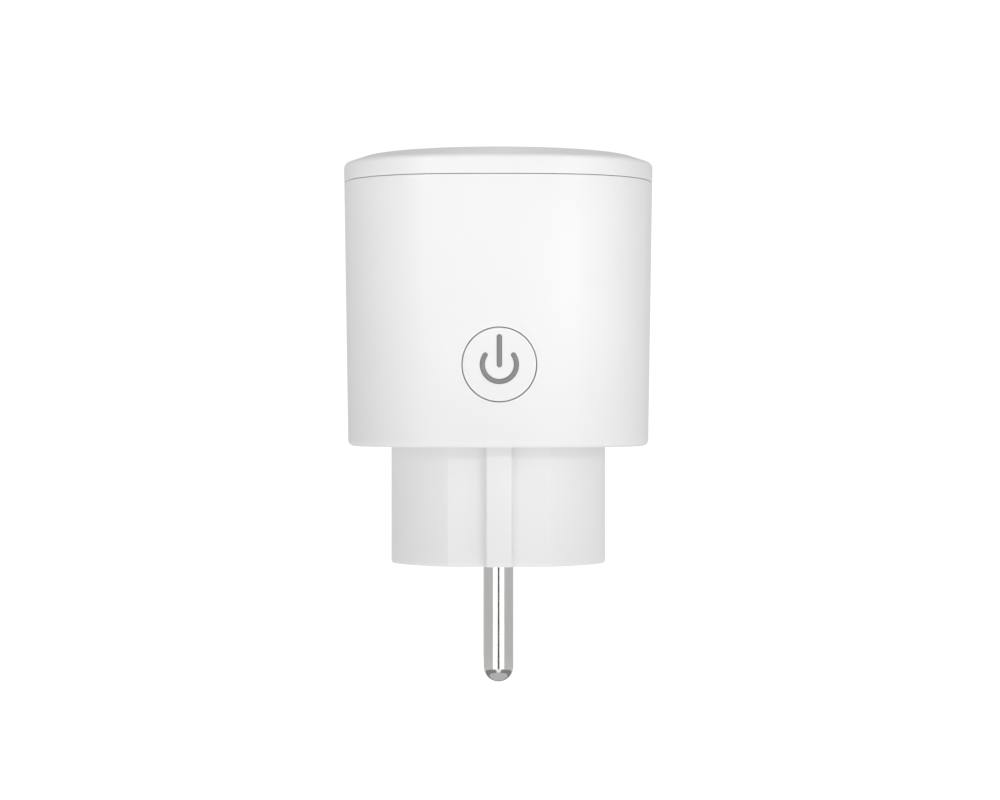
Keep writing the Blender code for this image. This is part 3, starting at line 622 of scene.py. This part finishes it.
# ------------------------------------------------------------ plug base
def base_outline():
    lip = math.degrees(math.asin(CHANNEL_HALF / BASE_R))
    flat = math.degrees(math.asin(BASE_FLAT / BASE_R))
    foot, head = 2.36, 2.02
    quarter = [(CHANNEL_FLOOR, 0.0, 0.0), (CHANNEL_FLOOR, 2.5, 0.0), (CHANNEL_FLOOR, CHANNEL_HALF, 0.25)]
    quarter.append((BASE_R * math.cos(math.radians(lip)), CHANNEL_HALF, 0.28))
    quarter += [(x, y, 0.0) for x, y in arc(BASE_R, lip + 1.6, flat - 1.8, 40)]
    quarter.append((BASE_R * math.cos(math.radians(flat)), BASE_FLAT, 0.55))
    quarter += [(x, BASE_FLAT, 0.0) for x in (7.2, 6.2, 5.2, 4.2, 3.2)]
    quarter.append((foot, BASE_FLAT, 0.12))
    quarter.append((head, math.sqrt(BASE_R**2 - head**2), 0.30))
    quarter += [(x, math.sqrt(BASE_R**2 - x * x), 0.0) for x in (1.3, 0.65)]
    quarter.append((0.0, BASE_R, 0.0))
    half = quarter + [(-x, y, r) for x, y, r in reversed(quarter[:-1])]
    full = half + [(x, -y, r) for x, y, r in reversed(half[1:-1])]
    return rounded(full, 4)


def build_base():
    plan = base_outline()
    radius = 0.55
    rings = []
    for k in range(7):
        a = math.radians(90 * k / 6)
        inset = radius * (1 - math.sin(a))
        k_scale = 1 - inset / BASE_R
        rings.append([(x * k_scale, y * k_scale, radius * (1 - math.cos(a))) for x, y in plan])
    for z in (2.0, 5.0, 9.0, 13.0, 16.0, BASE_TOP):
        rings.append([(x, y, z) for x, y in plan])
    base = loft("plug_base_finish", rings, sharp=26)
    cutters = [prism("cavity", disc((0, 0), 13.4, 96), 3.0, 30.0)]
    for sy in (-1, 1):
        cutters.append(turned("pin_hole", (0, sy * PIN_Y), [
            (PIN_R + 0.55, -1.0), (PIN_R + 0.55, -0.02), (PIN_R + 0.28, 0.14), (PIN_R + 0.10, 0.38), (PIN_R + 0.06, 0.7),
            (PIN_R + 0.06, 4.0)], 64))
    cutters.append(turned("earth_hole", (10.0, 0), [
        (3.55, -1.0), (3.55, -0.02), (3.3, 0.16), (3.14, 0.45), (3.1, 0.8), (3.1, 4.0)], 64))
    for sx in (-1, 1):
        x0, x1 = sorted((sx * 12.0, sx * 18.0))
        cutters.append(prism("slot", rect(x0, x1, -4.05, 4.05), 4.1, 5.4))
    combine(base, cutters, sharp=26)
    return place(base, "housing", "white_base", "plug_base")


# ------------------------------------------------------------ button and its symbol
ICON_R, ICON_W = 2.69, 0.79
BAR_W, BAR_LOW, BAR_HIGH = 0.83, -0.44, 4.77
RING_OPEN = 59.0


def stroke_outline(path, half):
    """Outline of a round-ended stroke along a path of (x, z) points."""
    left, right = [], []
    for i, p in enumerate(path):
        a = Vector(path[max(i - 1, 0)])
        b = Vector(path[min(i + 1, len(path) - 1)])
        d = (b - a).normalized()
        n = Vector((-d.y, d.x))
        left.append(Vector(p) + n * half)
        right.append(Vector(p) - n * half)
    end = (Vector(path[-1]) - Vector(path[-2])).normalized()
    start = (Vector(path[0]) - Vector(path[1])).normalized()

    def cap(centre, direction, steps=9):
        base = math.atan2(direction.y, direction.x)
        return [Vector(centre) + Vector((math.cos(base + t), math.sin(base + t))) * half
                for t in [math.radians(90 - 180 * k / (steps + 1)) for k in range(1, steps + 1)]]

    loop = left + cap(path[-1], end) + right[::-1] + cap(path[0], start)
    return [(p.x, p.y) for p in reversed(loop)]


def ring_path():
    # the path's ends are pulled back so that the round ends finish on the measured opening
    trim = math.degrees((ICON_W / 2) / ICON_R) * 0.35
    return arc(ICON_R, 90 + RING_OPEN - trim, 450 - RING_OPEN + trim, 44)


def bar_path():
    lo, hi = BAR_LOW + BAR_W / 2, BAR_HIGH - BAR_W / 2
    return [(0.0, lo + (hi - lo) * k / 12) for k in range(13)]


def build_button():
    slack = 0.045
    ring = stroke_outline(ring_path(), ICON_W / 2 + slack)
    bar = stroke_outline(bar_path(), BAR_W / 2 + slack)
    edge = 0.05
    rim = [(x, z) for x, z in disc((0, 0), BUTTON_R - edge, 160)]
    verts2d, edges, faces_in = [], [], []
    for loop in (rim, ring, bar):
        base = len(verts2d)
        verts2d += [Vector(p) for p in loop]
        faces_in.append(list(range(base, base + len(loop))))
    for ix in range(-24, 25):
        for iz in range(-24, 25):
            x, z = ix * 0.25 + (0.125 if iz % 2 else 0.0), iz * 0.22
            if math.hypot(x, z) > BUTTON_R - 0.2:
                continue
            if min((Vector((x, z)) - v).length for v in verts2d[: len(rim) + len(ring) + len(bar)]) < 0.10:
                continue
            verts2d.append(Vector((x, z)))
    out_v, out_e, out_f, _, _, orig = delaunay_2d_cdt(verts2d, edges, faces_in, 1, 1e-5)
    keep = [f for f, o in zip(out_f, orig) if 0 in o and 1 not in o and 2 not in o]

    verts, faces = [], []
    proud = 0.03

    def surface(x, z, sink=0.0):
        return (x, front_y(x, z + BUTTON_Z, -proud) + sink, z + BUTTON_Z)

    for v in out_v:
        verts.append(surface(v.x, v.y))
    faces += [tuple(f) for f in keep]
    count = {}
    for f in keep:
        for n in range(len(f)):
            a, b = f[n], f[(n + 1) % len(f)]
            count.setdefault((min(a, b), max(a, b)), []).append((a, b))
    border = [pairs[0] for pairs in count.values() if len(pairs) == 1]
    following = {a: b for a, b in border}
    loops = []
    while following:
        first = next(iter(following))
        loop, here = [], first
        while here in following:
            loop.append(here)
            here = following.pop(here)
        loops.append(loop)
    back_loops = []
    for loop in loops:
        pts = [Vector((out_v[i].x, out_v[i].y)) for i in loop]
        outer = max(p.length for p in pts) > BUTTON_R - 0.3 and min(p.length for p in pts) > BUTTON_R - 0.3
        rows = []
        n = len(pts)
        normals = []
        for i in range(n):
            d = (pts[(i + 1) % n] - pts[i - 1]).normalized()
            normals.append(Vector((d.y, -d.x)))
        # the border runs so that material is on its left, so this normal points off the material
        if outer:
            steps = [(edge * 0.7, edge * 0.3), (edge, edge), (edge, 0.9)]
        else:
            steps = [(0.02, 0.008), (0.03, 0.03), (0.03, 0.9)]
        previous = loop
        for out, sink in steps:
            current = []
            for i in range(n):
                p = pts[i] + normals[i] * out
                current.append(len(verts))
                verts.append(surface(p.x, p.y, sink))
            for i in range(n):
                j = (i + 1) % n
                faces.append((previous[i], previous[j], current[j], current[i]))
            previous = current
        back_loops.append((outer, previous))
    # back side: the same triangulation, set 0.9 mm in
    offset = len(verts)
    moved = {}
    for (outer, back), loop in zip(back_loops, loops):
        for i, v in zip(loop, back):
            moved[i] = v
    for k, v in enumerate(out_v):
        verts.append(surface(v.x, v.y, 0.9))
    for f in keep:
        faces.append(tuple(moved.get(i, offset + i) for i in reversed(f)))
    used = sorted({i for f in faces for i in f})
    remap = {old: new for new, old in enumerate(used)}
    verts = [verts[i] for i in used]
    faces = [tuple(remap[i] for i in f) for f in faces]
    cap = make("power_button_finish", verts, faces, 35)
    # the collar and flange behind the face that hold the button in its hole
    y = -24.2
    collar = []
    for r, yy in ((5.2, y), (BUTTON_R, y), (BUTTON_R, -22.6), (7.0, -22.5), (7.0, -21.7), (5.2, -21.7)):
        collar.append([(r * math.cos(2 * math.pi * i / 96), yy, BUTTON_Z + r * math.sin(2 * math.pi * i / 96)) for i in range(96)])
    skirt = loft("power_button_skirt", collar, closed=True)
    place(cap, "button", "white_button", "power_button")
    place(skirt, "button", "white_button", "power_button")

    icons = []
    for name, path, half in (("power_symbol_arc", ring_path(), ICON_W / 2), ("power_symbol_bar", bar_path(), BAR_W / 2)):
        icons.append(domed_stroke(name, path, half))
    guide = []
    for r, yy in ((0.01, -24.0), (4.7, -24.0), (4.95, -23.9), (4.95, -22.75), (1.55, -22.7), (1.5, -21.35), (1.4, -21.3), (0.01, -21.3)):
        guide.append([(r * math.cos(2 * math.pi * i / 64), yy, BUTTON_Z + r * math.sin(2 * math.pi * i / 64)) for i in range(64)])
    disc_piece = loft("light_guide_disc", guide)
    place(disc_piece, "button", "grey_icon", "button_light_guide")
    for icon in icons:
        place(icon, "button", "grey_icon", "button_light_guide")
    return cap


def domed_stroke(name, path, half, rise=0.19, set_in=0.14):
    """A round-ended stroke with a softly domed face, standing in its slot in the button."""
    pts = [Vector(p) for p in path]
    start = (pts[0] - pts[1]).normalized()
    end = (pts[-1] - pts[-2]).normalized()
    sections = []
    caps = [math.sin(math.radians(a)) for a in (88, 76, 64, 52, 40, 28, 14)]
    for s in caps:
        sections.append((pts[0] + start * half * s, -start, math.sqrt(1 - s * s)))
    for i, p in enumerate(pts):
        d = (pts[min(i + 1, len(pts) - 1)] - pts[max(i - 1, 0)]).normalized()
        sections.append((p, d, 1.0))
    for s in reversed(caps):
        sections.append((pts[-1] + end * half * s, end, math.sqrt(1 - s * s)))
    rings = []
    across = [math.sin(math.radians(a)) for a in range(-90, 91, 15)]
    for centre, d, share in sections:
        n = Vector((-d.y, d.x))
        ring = []
        for u in across:
            p = centre + n * (half * share * u)
            height = rise * math.sqrt(max(0.0, share**2 * (1 - u * u)))
            ring.append((p.x, front_y(p.x, p.y + BUTTON_Z, -0.03) + set_in - height, p.y + BUTTON_Z))
        for u in (1.0, -1.0):
            p = centre + n * (half * share * u)
            ring.append((p.x, -23.95, p.y + BUTTON_Z))
        rings.append(ring)
    return loft(name, rings, sharp=50)


# ------------------------------------------------------------ pins and strips
def build_pins():
    tip = PIN_R
    profile = [(0.02, PIN_TIP)]
    for k in range(1, 17):
        a = math.radians(90 * k / 16)
        profile.append((tip * math.sin(a), PIN_TIP + tip * (1 - math.cos(a))))
    for k in range(1, 8):
        profile.append((PIN_R, PIN_TIP + tip + 0.4 + k * 2.0))
    profile += [(PIN_R, 3.0), (PIN_R, 3.3), (3.45, 3.3), (3.6, 3.45), (3.6, 4.75), (3.45, 4.9), (1.0, 4.9), (1.0, PIN_TOP - 0.2), (0.8, PIN_TOP)]
    for name, sy, node in (("line_pin_finish", -1, "line_pin"), ("neutral_pin_finish", 1, "neutral_pin")):
        pin = turned(name, (0, sy * PIN_Y), profile, 96)
        place(pin, "housing", "nickel_pin", node)


def build_straps():
    for side, sx in (("left", -1), ("right", 1)):
        top, bottom = STRAP_HIGH.z, STRAP_LOW.z
        outer, inner = [], []
        steps = 22
        for k in range(steps + 1):
            z = bottom + (top - bottom) * k / steps
            bow = 0.22 * math.sin(math.pi * k / steps)
            curl = 0.35 * max(0.0, 1 - k / 3) ** 2
            outer.append((17.2 + bow - curl, z))
            inner.append((16.55 + bow - curl, z))
        inner = [p for p in inner if p[1] > 5.15] + []
        loop = outer + [(x, z) for x, z in reversed(inner)]
        loop += [(16.6, 5.1), (12.4, 5.1), (12.4, 4.4), (16.55, 4.4), (16.3, 2.2), (16.25, bottom)]
        strap = prism(f"earth_strap_{side}_finish", [(sx * x, z) for x, z in loop], -3.75, 3.75, "Y")
        bevel(strap, 0.09, 2, 50)
        place(strap, "housing", "nickel_strip", f"earth_strap_{side}")


def smooth_path(points, radius=1.2, steps=6):
    """A polyline with its corners rounded."""
    out = [points[0]]
    for i in range(1, len(points) - 1):
        p, a, b = Vector(points[i]), Vector(points[i - 1]), Vector(points[i + 1])
        da, db = (a - p), (b - p)
        reach = min(radius, da.length * 0.45, db.length * 0.45)
        s, e = p + da.normalized() * reach, p + db.normalized() * reach
        for k in range(steps + 1):
            t = k / steps
            q = s * (1 - t) ** 2 + p * 2 * t * (1 - t) + e * t * t
            out.append((q.x, q.y))
    out.append(points[-1])
    return out


def strip(name, path, thickness, low, high):
    left, right = [], []
    for i, p in enumerate(path):
        a, b = Vector(path[max(i - 1, 0)]), Vector(path[min(i + 1, len(path) - 1)])
        d = (b - a).normalized()
        n = Vector((-d.y, d.x)) * (thickness / 2)
        left.append(tuple(Vector(p) + n))
        right.append(tuple(Vector(p) - n))
    return prism(name, left + right[::-1], low, high, "Y")


def build_clips():
    x, z = 20.5, 26.2
    path = [(17.3, z), (x, z), (x, 50.0), (19.6, 52.0), (16.95, 56.0), (16.3, 58.2), (16.95, 60.4), (18.5, 63.3)]
    path = smooth_path(path, 1.4, 7)
    for side, sx in (("left", -1), ("right", 1)):
        clip = strip(f"earth_clip_{side}_finish", [(sx * px, pz) for px, pz in path], 0.6, -3.75, 3.75)
        bevel(clip, 0.10, 2, 50)
        place(clip, f"earth_contact_{side}", "nickel_strip", f"earth_clip_{side}")


def build_spring():
    turns, wire, radius = 7.0, 0.22, 1.18
    x0, x1 = SPRING_LOW.x + wire, SPRING_HIGH.x - wire
    zc = (SPRING_LOW.z + SPRING_HIGH.z) / 2
    steps, sides = 220, 10
    rings = []
    for k in range(steps + 1):
        t = k / steps
        a = 2 * math.pi * turns * t
        middle = Vector((x0 + (x1 - x0) * t, radius * math.cos(a), zc + radius * math.sin(a)))
        tangent = Vector(((x1 - x0) / (2 * math.pi * turns), -radius * math.sin(a), radius * math.cos(a))).normalized()
        outward = Vector((0, math.cos(a), math.sin(a)))
        side = tangent.cross(outward).normalized()
        rings.append([
            tuple(middle + (outward * math.cos(2 * math.pi * i / sides) + side * math.sin(2 * math.pi * i / sides)) * wire)
            for i in range(sides)
        ])
    spring = loft("shutter_spring_finish", rings, sharp=60)
    place(spring, "housing", "spring_steel", "shutter_spring")
    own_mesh(spring)


build_body()
build_cover()
build_base()
build_button()
build_pins()
build_straps()
build_clips()
build_spring()

# ------------------------------------------------------------ carried-over CAD pieces
replaced = {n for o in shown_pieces() for n in o.get("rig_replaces", [])}
slots = {s["node"]: s["material_slot"] for s in frame["record"]["subparts"]}
for name, node in frame["nodes"].items():
    if name in replaced:
        continue
    dress(node, slots[name])
    if name in ("shutter", "shutter_tray", "contact_carrier", "line_socket_contact", "neutral_socket_contact", "earth_bridge"):
        bevel(node, 0.08, 2, 50)


# ------------------------------------------------------------ stage, lights, camera
def emitter(name, colour, strength):
    mat = bpy.data.materials.new(name)
    mat.use_nodes = True
    nodes, links = mat.node_tree.nodes, mat.node_tree.links
    nodes.clear()
    out = nodes.new("ShaderNodeOutputMaterial")
    glow = nodes.new("ShaderNodeEmission")
    glow.inputs["Color"].default_value = (*colour, 1.0)
    glow.inputs["Strength"].default_value = strength
    links.new(glow.outputs["Emission"], out.inputs["Surface"])
    return mat


def build_stage():
    # a plain white sweep far behind, seen only directly
    rings = []
    for k in range(0, 25):
        a = math.radians(-90 + 180 * k / 24)
        r, z = 2600 * max(math.cos(a), 0.002), 2600 * math.sin(a)
        rings.append([(r * math.cos(2 * math.pi * i / 64), r * math.sin(2 * math.pi * i / 64), z) for i in range(64)])
    dome = loft("studio_sweep", rings)
    dome.data.materials.append(emitter("studio_sweep", (1, 1, 1), 1.05))
    for flag in ("visible_diffuse", "visible_glossy", "visible_transmission", "visible_volume_scatter", "visible_shadow"):
        setattr(dome, flag, False)
    floor = loft("studio_floor", [[(r * math.cos(2 * math.pi * i / 96), r * math.sin(2 * math.pi * i / 96), z) for i in range(96)]
                                  for r, z in ((2050.0, -345.0), (2050.0, -351.0))])
    mat = bpy.data.materials.new("studio_floor")
    mat.use_nodes = True
    shader = mat.node_tree.nodes["Principled BSDF"]
    shader.inputs["Base Color"].default_value = (0.82, 0.82, 0.82, 1)
    shader.inputs["Roughness"].default_value = 0.9
    shader.inputs["Emission Color"].default_value = (1, 1, 1, 1)
    shader.inputs["Emission Strength"].default_value = 0.47
    floor.data.materials.append(mat)
    # dark cards, seen only in mirror-like surfaces: a ragged strip behind the camera
    # that puts the thin dark line down the pins, and rings and a tongue under their tips
    heights = [-170.0, -78.0] + [-76.0 + 2.6 * k for k in range(23)] + [12.0]
    swing = [72.0 + 18.0 * math.sin(1.9 * k) + 16.0 * math.sin(4.7 * k + 1.0) for k in range(len(heights))]
    outline = [(-swing[-1 - k], z) for k, z in enumerate(heights)] + [(swing[k], heights[k]) for k in reversed(range(len(heights)))]
    flags = [prism("studio_flag", outline, -590.0, -588.0, "Y")]
    flags[0].data.materials.append(emitter("studio_flag", (1, 1, 1), 0.04))
    for name, inner, outer, glow in (("studio_ring_low", 0.1, 235.0, 0.52), ("studio_ring_mid", 240.0, 700.0, 0.24), ("studio_ring_wide", 705.0, 1900.0, 0.60)):
        ring = turned(name, (0, 0), [(inner, -240.0), (inner, -242.0), (outer, -242.0), (outer, -240.0)], closed=True)
        ring.data.materials.append(emitter(name, (1, 1, 1), glow))
        flags.append(ring)
    flags.append(prism("studio_tongue", [(-250.0, -575.0), (250.0, -575.0), (40.0, -190.0), (-40.0, -190.0)], -182.0, -180.0))
    flags[-1].data.materials.append(emitter("studio_tongue", (1, 1, 1), 1.0))
    for card in flags:
        for setting in ("visible_camera", "visible_diffuse", "visible_transmission", "visible_volume_scatter", "visible_shadow"):
            setattr(card, setting, False)


def area(name, azimuth, elevation, distance, width, height, radiance, target=(0, 0, 25)):
    """A soft panel light placed round the object; azimuth 0 is in front of it."""
    light = bpy.data.lights.new(name, "AREA")
    light.shape = "RECTANGLE"
    light.size, light.size_y = width * MM, height * MM
    light.energy = radiance * math.pi * light.size * light.size_y
    obj = bpy.data.objects.new(name, light)
    a, e = math.radians(azimuth), math.radians(elevation)
    back = Vector((math.sin(a) * math.cos(e), -math.cos(a) * math.cos(e), math.sin(e)))
    obj.location = (Vector(target) + back * distance) * MM
    obj.rotation_mode = "QUATERNION"
    obj.rotation_quaternion = (-back).to_track_quat("-Z", "Y")
    bpy.context.scene.collection.objects.link(obj)
    return obj


def pool(name, azimuth, elevation, height, power):
    """A soft-edged spot, 72 mm across, aimed at the front at one height."""
    light = bpy.data.lights.new(name, "SPOT")
    light.energy, light.shadow_soft_size = power, 0.03
    light.spot_blend = 1.0
    light.spot_size = 2 * math.atan(36 / 600)
    obj = bpy.data.objects.new(name, light)
    a, e = math.radians(azimuth), math.radians(elevation)
    back = Vector((math.sin(a) * math.cos(e), -math.cos(a) * math.cos(e), math.sin(e)))
    obj.location = (Vector((0, -15, height)) + back * 600) * MM
    obj.rotation_mode = "QUATERNION"
    obj.rotation_quaternion = (-back).to_track_quat("-Z", "Y")
    bpy.context.scene.collection.objects.link(obj)
    return obj


def build_lights():
    world = bpy.data.worlds.new("studio")
    bpy.context.scene.world = world
    world.use_nodes = True
    nodes, links = world.node_tree.nodes, world.node_tree.links
    background = nodes["Background"]
    coords = nodes.new("ShaderNodeTexCoord")
    split = nodes.new("ShaderNodeSeparateXYZ")
    links.new(coords.outputs["Generated"], split.inputs["Vector"])
    height = span(nodes, links, split.outputs["Z"], 0.0, 1.0)
    height.inputs["From Min"].default_value = -1.0
    height.inputs["From Max"].default_value = 1.0
    tone = ramp(nodes, links, height.outputs["Result"], [(0.0, (0.54, 0.54, 0.54)), (0.5, (0.54, 0.54, 0.54)), (0.56, (0.58, 0.58, 0.58))])
    links.new(tone.outputs["Color"], background.inputs["Color"])
    background.inputs["Strength"].default_value = 1.0
    area("softbox_low_left", -24.5, -9, 600, 400, 200, 1.05)
    area("softbox_low_right", 24.5, -9, 600, 400, 200, 1.05)
    area("softbox_right", 32, 12, 600, 240, 240, 0.30)
    area("softbox_side", 60, 12, 600, 240, 240, 0.85)
    area("softbox_key", 10, 35, 600, 240, 240, 1.36)
    pool("pool_cap_left", -32, 12, 66, 2.4)
    pool("pool_cap_front", 0, 12, 66, 0.45)
    pool("pool_body_left", -32, 12, 38, 0.75)
    pool("pool_body_right", 32, 12, 38, 2.75)


def build_camera():
    data = bpy.data.cameras.new("camera")
    data.lens, data.sensor_width = 99.0, 36.0
    data.clip_start, data.clip_end = 0.01, 10.0
    camera = bpy.data.objects.new("camera", data)
    turn = math.radians(-0.5)
    back = Vector((math.sin(turn), -math.cos(turn), 0))
    right = Vector((math.cos(turn), math.sin(turn), 0))
    camera.location = (back * 458.0 + right * 0.32 + Vector((0, 0, 26.8))) * MM
    camera.rotation_mode = "QUATERNION"
    camera.rotation_quaternion = (-back).to_track_quat("-Z", "Y")
    bpy.context.scene.collection.objects.link(camera)
    bpy.context.scene.camera = camera


build_stage()
build_lights()
build_camera()
bpy.context.scene.view_settings.view_transform = "Standard"
bpy.context.scene.view_settings.look = "None"
